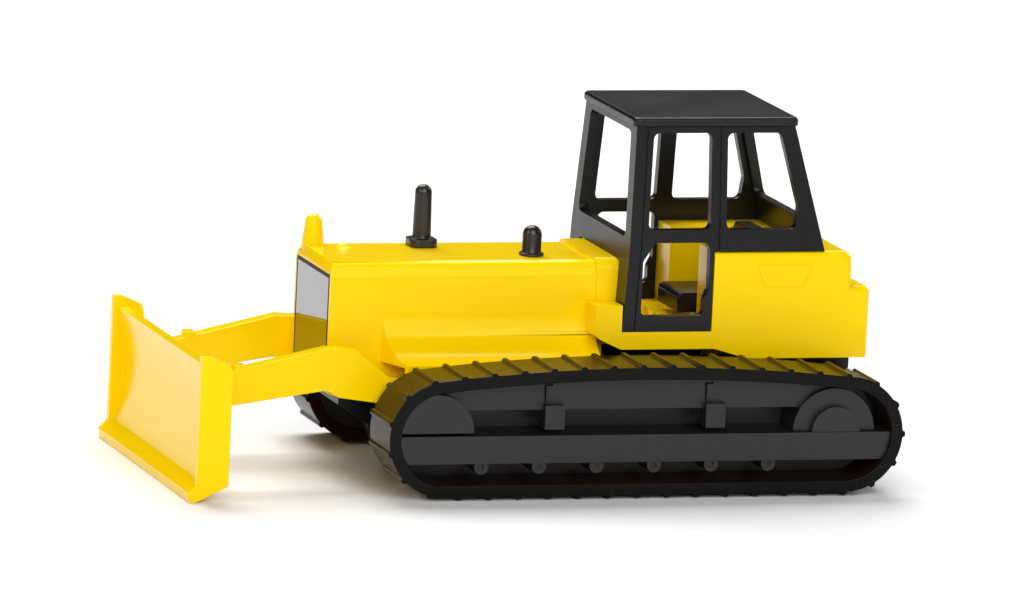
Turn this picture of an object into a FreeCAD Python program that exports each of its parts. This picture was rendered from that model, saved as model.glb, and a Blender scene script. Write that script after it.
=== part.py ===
"""Pocket-size toy bulldozer: zinc casting, plastic base, tracks and cab, lifting blade.

Frame: +X forward (blade), +Y to the driver's left, +Z up, millimetres.
Origin: on the floor, in the middle of the bounding box.
"""
import FreeCAD
import Part
import math
import os

V = FreeCAD.Vector

# ---- overall -------------------------------------------------------------
TOY_LENGTH = 79.8        # cleat tips at the tail to the blade's cutting lip
TOY_WIDTH = 39.1         # outside to outside over the tracks
CAB_TOP_Z = 39.7         # top of the roof

# ---- tracks --------------------------------------------------------------
TRACK_LENGTH = 58.4      # over the cleats
TRACK_WIDTH = 7.6
BAND_END_RADIUS = 6.3    # outer radius of the band at each end
BAND_THICKNESS = 1.3
BAND_ARCH = 1.25         # rise of the upper run above the two end arcs
CLEAT_HEIGHT = 0.3
CLEAT_ROOT = 0.95
CLEAT_TIP = 0.5
CLEAT_COUNT = 39
FLOOR_GAP = 0.15         # the hidden wheels hold the cleats this far up

# ---- track side mouldings --------------------------------------------------
WEB_INSET = 0.4          # web stands in from the band's inner edge
WEB_THICKNESS = 1.2
SIDE_INSET = 0.55        # beam and covers stand in from the band's outer edge
SKIRT_INSET = 1.5
SKIRT_THICKNESS = 1.0
BEAM_BOTTOM_Z = 3.95
BEAM_TOP_Z = 6.95
SKIRT_BOTTOM_Z = 9.5
SKIRT_TIE_LENGTH = 2.0
IDLER_COVER_RADIUS = 4.2
IDLER_COVER_Z = 7.3
IDLER_COVER_LEAD = 1.0   # forward of the front end arc's centre
SPROCKET_COVER_RADIUS = 4.6
SPROCKET_COVER_Z = 7.0
SPROCKET_COVER_LEAD = 1.2
SPROCKET_COVER_INSET = 0.8
SPROCKET_BOSS_RADIUS = 2.7
BRACKET_WIDTH = 2.2
BRACKET_HEIGHT = 2.6
BRACKET_SPACING = 18.1
BRACKET_LEAD = 1.2       # the pair's middle is forward of the track's middle
BRACKET_INSET = 0.5
BRACKET_LAP = 0.6        # how far a bracket reaches up the skirt
ROLLER_HEADS = 6
ROLLER_PITCH = 6.46
ROLLER_LEAD = 2.2
ROLLER_RADIUS = 0.8
ROLLER_INSET = 0.2
ROLLER_DIMPLE_RADIUS = 0.28
ROLLER_DIMPLE_DEPTH = 0.25
SLIT_WIDTH = 0.3         # hooked slit in the skirt above each bracket
SLIT_HEIGHT = 2.3
SLIT_HOOK = 1.0
SLIT_DEPTH = 0.5

# ---- wheels and axles --------------------------------------------------------
WHEEL_RADIUS = 3.2
WHEEL_WIDTH = 2.0
AXLE_RADIUS = 0.6
AXLE_CLEARANCE = 0.05
AXLE_PROUD = 0.3         # axle end beyond the wheel's face
WHEEL_CHAMFER = 0.2
WHEEL_DISH_RADIUS = 2.1
WHEEL_DISH_DEPTH = 0.5
WHEEL_HUB_RADIUS = 1.2
FRONT_AXLE_STATION = 48.9   # stations are measured forward from the tail
REAR_AXLE_STATION = 7.2

# ---- base plate ----------------------------------------------------------------
BASE_WALL = 1.0
BASE_FLOOR_Z = 4.0
TUB_SIDE_GAP = 2.4          # tub side to wheel
WHEEL_TRACK_GAP = 0.75      # wheel to the track's inner edge
BOW_SETBACK = 1.4           # bow behind the hood's front
BOW_RAKE = 6.5
BOW_LIP = 1.0
TAIL_SETBACK = 1.6
TAIL_RAKE = 3.0
DECK_INSET = 1.6            # deck side in from the rear body's side
AXLE_LUG_LENGTH = 3.2
AXLE_LUG_DEPTH = 1.4        # lug below the axle's centre
BEAM_X_LENGTH = 6.0         # the two cross beams that carry the tracks
FRONT_BEAM_SETBACK = 5.0    # behind the front axle
REAR_BEAM_LEAD = 6.5        # ahead of the rear axle
CROSS_BEAM_Z = 6.6
CROSS_BEAM_HEIGHT = 2.6
PEG_RADIUS = 1.2
PEG_LENGTH = 0.9

# ---- casting ---------------------------------------------------------------------
CASTING_WALL = 1.2
HOOD_TRACK_GAP = 5.2        # hood side to the track's inner edge: the arms run here
HOOD_BOTTOM_Z = 9.2
HOOD_TOP_Z = 23.6
HOOD_FRONT_STATION = 61.6
HOOD_REAR_STATION = 31.8
NOSE_SLOPE_Z = 22.3
NOSE_SLOPE_X = 0.35
HOOD_TOE = 0.5              # chamfer at the foot of the hood's front
HOOD_SHOULDER_DROP = 1.5    # slanted strip along each top edge of the hood
HOOD_SHOULDER_WIDTH = 0.8
HOOD_EDGE_RADIUS = 1.1
HOOD_COWL_LAP = 1.0         # how far the hood runs into the cowl
FENDER_FRONT_STATION = 54.0
FENDER_FRONT_SWEEP = 1.7    # its front edge runs forward towards the hood
FENDER_TRACK_GAP = 0.45
FENDER_EDGE_Z = 13.2
FENDER_ROOT_Z = 18.6        # where the concave skirt leaves the hood side
FENDER_LIP = 0.9
FENDER_ROOM_Z = 12.9        # roof of the bay that the arm swings in
FENDER_WALL = 0.5
COWL_OVERHANG = 0.3         # cowl stands proud of the hood side
COWL_TOP_Z = 23.9
COWL_EDGE_RADIUS = 1.4
COWL_REAR_STATION = 28.5
STEP_FRONT_STATION = 32.8
STEP_REAR_STATION = 29.8
STEP_TOP_Z = 19.4
STEP_TOE = 0.6              # double chamfer under the step's front
STEP_TOE_LOW = 1.1
STEP_TOE_HIGH = 1.6
BODY_TRACK_GAP = 1.45       # rear body side to the track's inner edge
SILL_TOP_Z = 16.5
SILL_BOTTOM_Z = 14.6
BODY_BOTTOM_Z = 13.5
SILL_RAMP_FRONT = 0.4       # the sill's underside drops to the body's over this stretch
SILL_RAMP_REAR = 4.2
BODY_TOP_Z = 25.2
TANK_TOP_Z = 21.4
TANK_STEP = 2.2             # how far the upper tier stands ahead of the lower one
BODY_SIDE_RADIUS = 0.7
BODY_EDGE_RADIUS = 1.2
TANK_EDGE_RADIUS = 0.9
BODY_REAR_STATION = 1.6
BODY_FRONT_STATION = 19.6   # front faces of the two rear fenders
WELL_HALF_WIDTH = 5.0
WELL_LENGTH = 8.6
WELL_FLOOR_Z = 17.3
PEDAL_LEAD = 2.6            # pedals on the cab floor, ahead of the rear fenders
PEDAL_LENGTH = 1.5
PEDAL_WIDTH = 1.6
PEDAL_HEIGHT = 0.8
PEDAL_PITCH = 3.2
HATCH_SETBACK = 4.7         # hatch outline behind the rear fender's front face
HATCH_WIDTH = 6.6
HATCH_SLANT = 1.0
HATCH_DROP = 1.3            # hatch outline below the upper tier's top
HATCH_HEIGHT = 2.7
HATCH_GROOVE_DEPTH = 0.12
HATCH_GROOVE_WIDTH = 0.2
BOSS_WALL = 0.8             # wall of the boss round each pivot pin
BOSS_PROUD = 0.5

# ---- small parts on the hood --------------------------------------------------------
STACK_STATION = 48.5
STACK_INSET = 3.25          # from the far hood side
STACK_HEIGHT = 6.8
STACK_FOOT_RADIUS = 1.05
STACK_TIP_RADIUS = 0.92
COLLAR_SIZE = 3.1
COLLAR_HEIGHT = 0.9
COLLAR_CORNER_RADIUS = 0.9
CLEANER_STATION = 37.9
CLEANER_INSET = 4.15        # from the near hood side
CLEANER_HEIGHT = 3.3
CLEANER_RADIUS = 1.05
CLEANER_FLANGE = 1.35
CLEANER_FLANGE_HEIGHT = 0.3
STUD_RADIUS = 0.7
STUD_LENGTH = 1.2
FILLER_STATION = 60.2
FILLER_INSET = 1.45
FILLER_HEIGHT = 3.3
FILLER_RADIUS = 1.3
FILLER_TIP_RADIUS = 0.95
DOME_STATION = 57.3
DOME_INSET = 3.3
DOME_RADIUS = 1.0
DOME_RISE = 0.45            # a shallow cap, its sphere's centre below the hood top
ROOT_SINK = 0.5             # how far the lug and the dome start below the hood's top
GRILLE_MARGIN = 0.45
GRILLE_THICKNESS = 0.8
GRILLE_BOTTOM_Z = 10.1
GRILLE_CORNER_RADIUS = 0.6

# ---- cab ---------------------------------------------------------------------------------
CAB_FRONT_STATION = 29.7
CAB_REAR_STATION = 7.1
CAB_FRONT_LEAN = 1.0
CAB_REAR_LEAN = 3.6
CAB_SIDE_LEAN = 1.35
CAB_WALL = 1.1
ROOF_THICKNESS = 1.0
ROOF_OVERHANG = 0.35
SEAM = 0.1                  # clearance between the cab and the casting
WINDOW_TOP_Z = 38.0
WINDOW_SILL_Z = 27.6
RAIL_BOTTOM_Z = 26.2
PILLAR_FRONT = 2.0
PILLAR_MIDDLE = 1.8
PILLAR_MIDDLE_LEAD = 0.55   # its front edge ahead of the rear fenders' front faces
PILLAR_REAR = 1.8
DOOR_SILL_Z = 18.2
DOOR_CHEEK = 1.3            # slanted upper front corner of the lower door window
DOOR_CHEEK_DROP = 2.0
DOOR_HEEL = 0.5             # step in the window's rear edge above the sill
DOOR_HEEL_Z = 20.1
DOOR_HEEL_RISE = 1.0
QUARTER_CUT = 0.9           # cut lower rear corner of the quarter window
QUARTER_CUT_RISE = 2.4
CORNER_RADIUS = 0.7
ROOF_CORNER_RADIUS = 0.7
ROOF_EDGE_RADIUS = 0.4
ROOF_PLUG_DEPTH = 0.5
DOOR_LINE_WIDTH = 0.22      # grooves that draw the door on the cage
DOOR_LINE_DEPTH = 0.18
DOOR_LINE_INSET = 0.85      # groove ahead of the door's window, and behind it
WINDSHIELD_SILL_Z = 26.6
REAR_SILL_Z = 28.3

# ---- seat ------------------------------------------------------------------------------------
SEAT_WIDTH = 7.0
SEAT_CLEARANCE = 0.3
CUSHION_THICKNESS = 2.2
CUSHION_OVERHANG = 1.7
CUSHION_EDGE_RADIUS = 0.7
SEAT_STUD_SETBACK = 3.8     # behind the rear fenders' front faces
BACKREST_TOP_Z = 26.3
BACKREST_THICKNESS = 1.7
BACKREST_FOOT = 0.6         # extra thickness where the backrest meets the cushion
BACKREST_CORNER_RADIUS = 1.2

# ---- blade and arms -----------------------------------------------------------------------------
BLADE_WIDTH = 36.6
BLADE_TOP_Z = 14.7
WING_TOP_Z = 15.8
BLADE_DEPTH = 3.1
BLADE_SKIN = 1.2
BLADE_HOLLOW = 1.0
LIP_REACH = 1.3
LIP_TOP_Z = 2.2
LIP_FOOT = 0.8              # flat on the floor under the cutting lip
LIP_NOSE = 0.1              # the lip's foot stands back from its nose
LIP_NOSE_Z = 1.1
LIP_BACK_DROP = 0.8         # moldboard back reaches this far below the lip's top
WING_THICKNESS = 1.0
WING_PROUD = 0.4            # wing ahead of the moldboard's face
WING_TOE_Z = 0.6
WING_TOE_LENGTH = 0.75
WING_TOP_FLAT = 1.0
WING_TOP_DROP = 0.9         # fall of the wing's top towards the rear
WING_HEEL = 0.3
CHEEK_WALL = 0.6            # wall of the socket that takes each arm
CHEEK_LAP = 0.4
ARM_THICKNESS = 1.9
ARM_TRACK_GAP = 1.15
ARM_FOOT_BOTTOM_Z = 8.6
ARM_FOOT_HEIGHT = 3.5
ARM_REAR_BOTTOM_Z = 10.5
ARM_REAR_HEIGHT = 4.6
ARM_KNEE_LEAD = 1.2         # deepest place of the arm, ahead of the hood's front
ARM_KNEE_LENGTH = 3.3
ARM_KNEE_FALL = 0.2
ARM_THROAT_LEAD = 3.0       # neck behind the knee, from the pivot: it swings clear of the fender
ARM_THROAT_RISE = 1.8
ARM_BELLY = 1.5
ARM_BELLY_DROP = 0.8
ARM_LUG_SETBACK = 3.4
ARM_LUG_LENGTH = 1.3
ARM_LUG_HEIGHT = 0.45
EYE_RADIUS = 1.7
EYE_TOP_ANGLE = 50.0        # where the neck's two edges meet the eye, in degrees
EYE_LOW_ANGLE = -70.0
PIVOT_STATION = 53.0
PIVOT_Z = 10.2
PIVOT_RADIUS = 0.7
PIVOT_CLEARANCE = 0.05
PIN_HEAD_RADIUS = 1.1
PIN_HEAD = 0.4
PIN_SIDE_GAP = 0.1          # head to the arm's face
ARM_PEG = 1.0               # how far each arm's tenon goes into the blade

# ---- rivets ----------------------------------------------------------------------------------------
RIVET_RADIUS = 0.7
RIVET_HEAD_RADIUS = 1.5
RIVET_HEAD = 0.5
RIVET_SINK = 0.05           # head below the belly, in its counterbore
RIVET_HEAD_GAP = 0.15
POST_RADIUS = 1.7
POST_LAP = 0.2
RIVET_DEPTH = 4.0
FRONT_POST_STATION = 42.0
REAR_POST_STATION = 15.5

# ---- places worked out from the sizes above ------------------------------------------------------------
TAIL_X = -TOY_LENGTH / 2
BLADE_FRONT_X = TOY_LENGTH / 2
TRACK_INNER_Y = TOY_WIDTH / 2 - TRACK_WIDTH
TRACK_OUTER_Y = TOY_WIDTH / 2
HOOD_Y = TRACK_INNER_Y - HOOD_TRACK_GAP
BODY_Y = TRACK_INNER_Y - BODY_TRACK_GAP
FENDER_Y = TRACK_INNER_Y - FENDER_TRACK_GAP
COWL_Y = HOOD_Y + COWL_OVERHANG
BAND_BOTTOM_Z = FLOOR_GAP + CLEAT_HEIGHT
ARC_Z = BAND_BOTTOM_Z + BAND_END_RADIUS
ARC_REAR_X = TAIL_X + CLEAT_HEIGHT + BAND_END_RADIUS
ARC_FRONT_X = TAIL_X + TRACK_LENGTH - CLEAT_HEIGHT - BAND_END_RADIUS
HALF_RUN = (ARC_FRONT_X - ARC_REAR_X) / 2
MID_X = (ARC_FRONT_X + ARC_REAR_X) / 2
ARCH_RADIUS = BAND_END_RADIUS + (HALF_RUN ** 2 + BAND_ARCH ** 2) / (2 * BAND_ARCH)
ARCH_Z = ARC_Z + BAND_END_RADIUS + BAND_ARCH - ARCH_RADIUS
WEB_Y = TRACK_INNER_Y + WEB_INSET
SIDE_Y = TRACK_OUTER_Y - SIDE_INSET
WHEEL_OUTER_Y = TRACK_INNER_Y - WHEEL_TRACK_GAP
WHEEL_INNER_Y = WHEEL_OUTER_Y - WHEEL_WIDTH
TUB_Y = WHEEL_INNER_Y - TUB_SIDE_GAP
ARM_OUTER_Y = TRACK_INNER_Y - ARM_TRACK_GAP
ARM_INNER_Y = ARM_OUTER_Y - ARM_THICKNESS
ROOF_BOTTOM_Z = CAB_TOP_Z - ROOF_THICKNESS
BIG = 4 * TOY_LENGTH


def station(distance):
    """X of a place measured forward from the tail."""
    return TAIL_X + distance


def box(x0, x1, y0, y1, z0, z1):
    return Part.makeBox(x1 - x0, y1 - y0, z1 - z0, V(x0, y0, z0))


def rod_y(x, z, radius, y0, y1):
    return Part.makeCylinder(radius, y1 - y0, V(x, y0, z), V(0, 1, 0))


def rod_z(x, y, radius, z0, z1):
    return Part.makeCylinder(radius, z1 - z0, V(x, y, z0))


def polygon_prism(points, direction):
    """Prism over a closed outline of 3-D points."""
    wire = Part.makePolygon(points + [points[0]])
    return Part.Face(wire).extrude(direction)


def side_prism(outline, y0, y1):
    """Prism across the toy over an (x, z) outline."""
    return polygon_prism([V(x, y0, z) for x, z in outline], V(0, y1 - y0, 0))


def front_prism(outline, x0, x1):
    """Prism along the toy over a (y, z) outline."""
    return polygon_prism([V(x0, y, z) for y, z in outline], V(x1 - x0, 0, 0))


def along(edge, axis):
    """True for a straight edge that lies along the axis."""
    if edge.Curve.TypeId != "Part::GeomLine":
        return False
    return abs(abs(edge.tangentAt(edge.FirstParameter).dot(axis)) - 1) < 1e-6


def near(a, b):
    return abs(a - b) < 1e-4


def rounded_edges(shape, radius, axis, keep):
    """Fillet the straight edges along axis whose middle passes the keep test."""
    chosen = [e for e in shape.Edges if along(e, axis) and keep(e.CenterOfMass)]
    return shape.makeFillet(radius, chosen)


def rounded_window(outline, y0, y1):
    """Side window cutter with rounded corners."""
    cutter = side_prism(outline, y0, y1)
    return rounded_edges(cutter, CORNER_RADIUS, V(0, 1, 0), lambda c: True)


def other_side(shape):
    return shape.mirror(V(0, 0, 0), V(0, 1, 0))


def both_sides(shape):
    return shape.fuse(other_side(shape))


# ---- track band ---------------------------------------------------------------------------
def band_face(inset):
    """Closed track outline, drawn in from the outside by inset, in the XZ plane."""
    radius = BAND_END_RADIUS - inset
    arch = ARCH_RADIUS - inset
    top = V(MID_X, 0, ARCH_Z + arch)

    def tangent_point(centre_x):
        away = V(centre_x - MID_X, 0, ARC_Z - ARCH_Z)
        away.normalize()
        return V(centre_x, 0, ARC_Z) + away * radius

    front_top = tangent_point(ARC_FRONT_X)
    rear_top = tangent_point(ARC_REAR_X)
    front_bottom = V(ARC_FRONT_X, 0, ARC_Z - radius)
    rear_bottom = V(ARC_REAR_X, 0, ARC_Z - radius)
    edges = [
        Part.LineSegment(rear_bottom, front_bottom).toShape(),
        Part.Arc(front_bottom, V(ARC_FRONT_X + radius, 0, ARC_Z), front_top).toShape(),
        Part.Arc(front_top, top, rear_top).toShape(),
        Part.Arc(rear_top, V(ARC_REAR_X - radius, 0, ARC_Z), rear_bottom).toShape(),
    ]
    return Part.Face(Part.Wire(edges))


def band_point(distance):
    """Point on the band's outer surface and its outward angle, by distance along it."""
    lean = math.atan2(HALF_RUN, ARC_Z - ARCH_Z)
    end_turn = math.pi - lean
    lengths = [2 * HALF_RUN, BAND_END_RADIUS * end_turn, 2 * ARCH_RADIUS * lean]
    if distance < lengths[0]:
        return V(ARC_REAR_X + distance, 0, BAND_BOTTOM_Z), -math.pi / 2
    distance -= lengths[0]
    if distance < lengths[1]:
        angle = -math.pi / 2 + distance / BAND_END_RADIUS
        centre, radius = V(ARC_FRONT_X, 0, ARC_Z), BAND_END_RADIUS
    elif distance < lengths[1] + lengths[2]:
        angle = math.pi / 2 - lean + (distance - lengths[1]) / ARCH_RADIUS
        centre, radius = V(MID_X, 0, ARCH_Z), ARCH_RADIUS
    else:
        rest = distance - lengths[1] - lengths[2]
        angle = math.pi / 2 + lean + rest / BAND_END_RADIUS
        centre, radius = V(ARC_REAR_X, 0, ARC_Z), BAND_END_RADIUS
    return centre + V(math.cos(angle), 0, math.sin(angle)) * radius, angle


def cleat(distance):
    """One cross cleat, a little sunk into the band so that the two join."""
    point, angle = band_point(distance)
    out = V(math.cos(angle), 0, math.sin(angle))
    along_band = V(-math.sin(angle), 0, math.cos(angle))
    root = -BAND_THICKNESS / 4
    corners = [
        point + out * root - along_band * (CLEAT_ROOT / 2),
        point + out * root + along_band * (CLEAT_ROOT / 2),
        point + out * CLEAT_HEIGHT + along_band * (CLEAT_TIP / 2),
        point + out * CLEAT_HEIGHT - along_band * (CLEAT_TIP / 2),
    ]
    shift = V(0, TRACK_INNER_Y, 0)
    return polygon_prism([c + shift for c in corners], V(0, TRACK_WIDTH, 0))


def track_band():
    ring = band_face(0).cut(band_face(BAND_THICKNESS))
    ring.translate(V(0, TRACK_INNER_Y, 0))
    ring = ring.extrude(V(0, TRACK_WIDTH, 0))
    lean = math.atan2(HALF_RUN, ARC_Z - ARCH_Z)
    around = 2 * (HALF_RUN + BAND_END_RADIUS * (math.pi - lean) + ARCH_RADIUS * lean)
    tail = around - BAND_END_RADIUS * math.pi / 2
    cleats = [cleat((tail + i * around / CLEAT_COUNT) % around) for i in range(CLEAT_COUNT)]
    return ring.multiFuse(cleats).removeSplitter()


# ---- track side moulding ----------------------------------------------------------------------
def half_disc(x, z, radius, y0, y1):
    """Cover with a flat underside at z."""
    disc = rod_y(x, z, radius, y0, y1)
    return disc.common(box(x - radius, x + radius, y0, y1, z, z + radius))


def track_frame():
    """Web, beam, skirt, brackets, covers and roller heads in one moulding."""
    inside = band_face(BAND_THICKNESS)

    def slab(y0, y1):
        face = inside.copy()
        face.translate(V(0, y0, 0))
        return face.extrude(V(0, y1 - y0, 0))

    web = slab(WEB_Y, WEB_Y + WEB_THICKNESS)
    space = slab(WEB_Y, SIDE_Y)
    skirt_y = SIDE_Y - SKIRT_INSET
    low_x, high_x = ARC_REAR_X - BAND_END_RADIUS, ARC_FRONT_X + BAND_END_RADIUS
    beam = box(low_x, high_x, WEB_Y, SIDE_Y, BEAM_BOTTOM_Z, BEAM_TOP_Z)
    skirt = box(ARC_REAR_X, ARC_FRONT_X, skirt_y - SKIRT_THICKNESS, skirt_y,
                SKIRT_BOTTOM_Z, ARCH_Z + ARCH_RADIUS)
    skirt_ties = [box(x - SKIRT_TIE_LENGTH / 2, x + SKIRT_TIE_LENGTH / 2, WEB_Y, skirt_y,
                      BEAM_TOP_Z, ARCH_Z + ARCH_RADIUS) for x in (ARC_REAR_X, ARC_FRONT_X)]
    cover_front_x = ARC_FRONT_X + IDLER_COVER_LEAD
    cover_rear_x = ARC_REAR_X + SPROCKET_COVER_LEAD
    covers = [
        half_disc(cover_front_x, IDLER_COVER_Z, IDLER_COVER_RADIUS, WEB_Y, SIDE_Y),
        half_disc(cover_rear_x, SPROCKET_COVER_Z, SPROCKET_COVER_RADIUS,
                  WEB_Y, SIDE_Y - SPROCKET_COVER_INSET),
        half_disc(cover_rear_x, SPROCKET_COVER_Z, SPROCKET_BOSS_RADIUS, WEB_Y, SIDE_Y),
    ]
    bracket_top = SKIRT_BOTTOM_Z + BRACKET_LAP
    bracket_x = MID_X + BRACKET_LEAD
    brackets = [box(x - BRACKET_WIDTH / 2, x + BRACKET_WIDTH / 2, skirt_y - SKIRT_THICKNESS,
                    SIDE_Y - BRACKET_INSET, bracket_top - BRACKET_HEIGHT, bracket_top)
                for x in (bracket_x + BRACKET_SPACING / 2, bracket_x - BRACKET_SPACING / 2)]
    first_x = MID_X + (ROLLER_HEADS - 1) * ROLLER_PITCH / 2 + ROLLER_LEAD
    heads = [rod_y(first_x - i * ROLLER_PITCH, BEAM_BOTTOM_Z - ROLLER_RADIUS / 2,
                   ROLLER_RADIUS, WEB_Y, SIDE_Y - ROLLER_INSET) for i in range(ROLLER_HEADS)]
    dimples = [rod_y(first_x - i * ROLLER_PITCH, BEAM_BOTTOM_Z - ROLLER_RADIUS / 2,
                     ROLLER_DIMPLE_RADIUS, SIDE_Y - ROLLER_INSET - ROLLER_DIMPLE_DEPTH, SIDE_Y)
               for i in range(ROLLER_HEADS)]
    slits = []
    for x in (bracket_x + BRACKET_SPACING / 2, bracket_x - BRACKET_SPACING / 2):
        slit_x = x + BRACKET_WIDTH / 2
        slit_top = bracket_top + SLIT_HEIGHT
        slits.append(box(slit_x - SLIT_WIDTH, slit_x, skirt_y - SLIT_DEPTH, skirt_y,
                         bracket_top, slit_top))
        slits.append(box(slit_x - SLIT_HOOK, slit_x, skirt_y - SLIT_DEPTH, skirt_y,
                         slit_top - SLIT_WIDTH, slit_top))
    body = web.multiFuse([beam, skirt] + skirt_ties + covers + brackets + heads).common(space)
    body = body.cut(dimples[0].multiFuse(dimples[1:] + slits))
    for x in cross_beam_places():
        body = body.cut(rod_y(x, CROSS_BEAM_Z + CROSS_BEAM_HEIGHT / 2, PEG_RADIUS,
                              WEB_Y, WEB_Y + PEG_LENGTH))
    return body.removeSplitter()


def cross_beam_places():
    """X of the two cross beams of the base plate."""
    return (station(FRONT_AXLE_STATION) - FRONT_BEAM_SETBACK,
            station(REAR_AXLE_STATION) + REAR_BEAM_LEAD)


# ---- wheels --------------------------------------------------------------------------------------
def axle(distance):
    return rod_y(station(distance), WHEEL_RADIUS, AXLE_RADIUS,
                 -WHEEL_OUTER_Y - AXLE_PROUD, WHEEL_OUTER_Y + AXLE_PROUD)


def wheel(distance):
    x = station(distance)
    disc = rod_y(x, WHEEL_RADIUS, WHEEL_RADIUS, WHEEL_INNER_Y, WHEEL_OUTER_Y)
    disc = disc.makeChamfer(WHEEL_CHAMFER, [e for e in disc.Edges if e.Closed])
    dish_y = WHEEL_OUTER_Y - WHEEL_DISH_DEPTH
    dish = rod_y(x, WHEEL_RADIUS, WHEEL_DISH_RADIUS, dish_y, WHEEL_OUTER_Y)
    hub = rod_y(x, WHEEL_RADIUS, WHEEL_HUB_RADIUS, dish_y, WHEEL_OUTER_Y)
    bore = rod_y(x, WHEEL_RADIUS, AXLE_RADIUS, WHEEL_INNER_Y, WHEEL_OUTER_Y)
    return disc.cut(dish).fuse(hub).cut(bore).removeSplitter()


# ---- base plate -------------------------------------------------------------------------------------
def post_places():
    return (station(FRONT_POST_STATION), station(REAR_POST_STATION))


def base_plate():
    """Belly tub with a raked bow, wide deck under the rear body and two cross beams."""
    bow_x = station(HOOD_FRONT_STATION) - BOW_SETBACK
    keel_x = bow_x - BOW_RAKE
    bow_z = HOOD_BOTTOM_Z - BOW_LIP
    tail_x = station(BODY_REAR_STATION) + TAIL_SETBACK
    heel_x = tail_x + TAIL_RAKE
    heel_z = BASE_FLOOR_Z + TAIL_RAKE
    deck_front_x = station(HOOD_REAR_STATION) - HOOD_COWL_LAP - SEAM
    hull = [
        (tail_x, heel_z), (heel_x, BASE_FLOOR_Z), (keel_x, BASE_FLOOR_Z),
        (bow_x, bow_z), (bow_x, HOOD_BOTTOM_Z), (tail_x, HOOD_BOTTOM_Z),
    ]
    room = [
        (tail_x + BASE_WALL, HOOD_BOTTOM_Z), (tail_x + BASE_WALL, heel_z),
        (heel_x, BASE_FLOOR_Z + BASE_WALL), (keel_x, BASE_FLOOR_Z + BASE_WALL),
        (bow_x - 2 * BASE_WALL, bow_z), (bow_x - 2 * BASE_WALL, HOOD_BOTTOM_Z),
    ]
    tub = side_prism(hull, -TUB_Y, TUB_Y)
    hollow = side_prism(room, -TUB_Y + BASE_WALL, TUB_Y - BASE_WALL)
    deck_y = BODY_Y - DECK_INSET
    deck = box(tail_x, deck_front_x, -deck_y, deck_y, HOOD_BOTTOM_Z, BODY_BOTTOM_Z)
    deck_room = box(tail_x + BASE_WALL, deck_front_x - BASE_WALL,
                    -deck_y + BASE_WALL, deck_y - BASE_WALL,
                    HOOD_BOTTOM_Z + BASE_WALL, BODY_BOTTOM_Z)
    beams = [box(x - BEAM_X_LENGTH / 2, x + BEAM_X_LENGTH / 2, -WEB_Y, WEB_Y,
                 CROSS_BEAM_Z, CROSS_BEAM_Z + CROSS_BEAM_HEIGHT) for x in cross_beam_places()]
    pegs = [rod_y(x, CROSS_BEAM_Z + CROSS_BEAM_HEIGHT / 2, PEG_RADIUS,
                  -WEB_Y - PEG_LENGTH, WEB_Y + PEG_LENGTH) for x in cross_beam_places()]
    flange = box(station(HOOD_REAR_STATION), bow_x, -HOOD_Y, HOOD_Y,
                 HOOD_BOTTOM_Z - BASE_WALL, HOOD_BOTTOM_Z)
    solid = tub.multiFuse([deck, flange] + beams + pegs)
    posts = [rod_z(x, 0, POST_RADIUS, BASE_FLOOR_Z + BASE_WALL, BODY_BOTTOM_Z + BIG)
             for x in post_places()]
    passages = [rod_z(x, 0, RIVET_RADIUS, 0, BASE_FLOOR_Z + 2 * BASE_WALL)
                for x in post_places()]
    counterbores = [rod_z(x, 0, RIVET_HEAD_RADIUS + RIVET_HEAD_GAP,
                          0, BASE_FLOOR_Z + RIVET_SINK + RIVET_HEAD) for x in post_places()]
    axles = [rod_y(station(s), WHEEL_RADIUS, AXLE_RADIUS + AXLE_CLEARANCE, -TUB_Y, TUB_Y)
             for s in (FRONT_AXLE_STATION, REAR_AXLE_STATION)]
    lugs = [box(station(s) - AXLE_LUG_LENGTH / 2, station(s) + AXLE_LUG_LENGTH / 2, -TUB_Y, TUB_Y,
                WHEEL_RADIUS - AXLE_LUG_DEPTH, BASE_FLOOR_Z + BASE_WALL)
            for s in (FRONT_AXLE_STATION, REAR_AXLE_STATION)]
    solid = solid.cut(hollow).cut(deck_room).multiFuse(lugs)
    cutters = [posts[1]] + passages + counterbores + axles
    return solid.cut(posts[0].multiFuse(cutters)).removeSplitter()


# ---- casting ---------------------------------------------------------------------------------------------
def hood():
    front_x = station(HOOD_FRONT_STATION)
    rear_x = station(HOOD_REAR_STATION)
    outline = [
        (rear_x - HOOD_COWL_LAP, HOOD_BOTTOM_Z), (front_x - HOOD_TOE, HOOD_BOTTOM_Z),
        (front_x, HOOD_BOTTOM_Z + HOOD_TOE), (front_x, NOSE_SLOPE_Z),
        (front_x - NOSE_SLOPE_X, HOOD_TOP_Z), (rear_x - HOOD_COWL_LAP, HOOD_TOP_Z),
    ]
    shoulder_z = HOOD_TOP_Z - HOOD_SHOULDER_DROP
    shoulder_y = HOOD_Y - HOOD_SHOULDER_WIDTH
    section = [(HOOD_Y, HOOD_BOTTOM_Z), (HOOD_Y, shoulder_z), (shoulder_y, HOOD_TOP_Z),
               (-shoulder_y, HOOD_TOP_Z), (-HOOD_Y, shoulder_z), (-HOOD_Y, HOOD_BOTTOM_Z)]
    tunnel = front_prism(section, rear_x - HOOD_COWL_LAP, front_x)
    tunnel = rounded_edges(tunnel, HOOD_EDGE_RADIUS, V(1, 0, 0), lambda c: c.z > HOOD_BOTTOM_Z + 1)
    return side_prism(outline, -HOOD_Y, HOOD_Y).common(tunnel)


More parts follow.
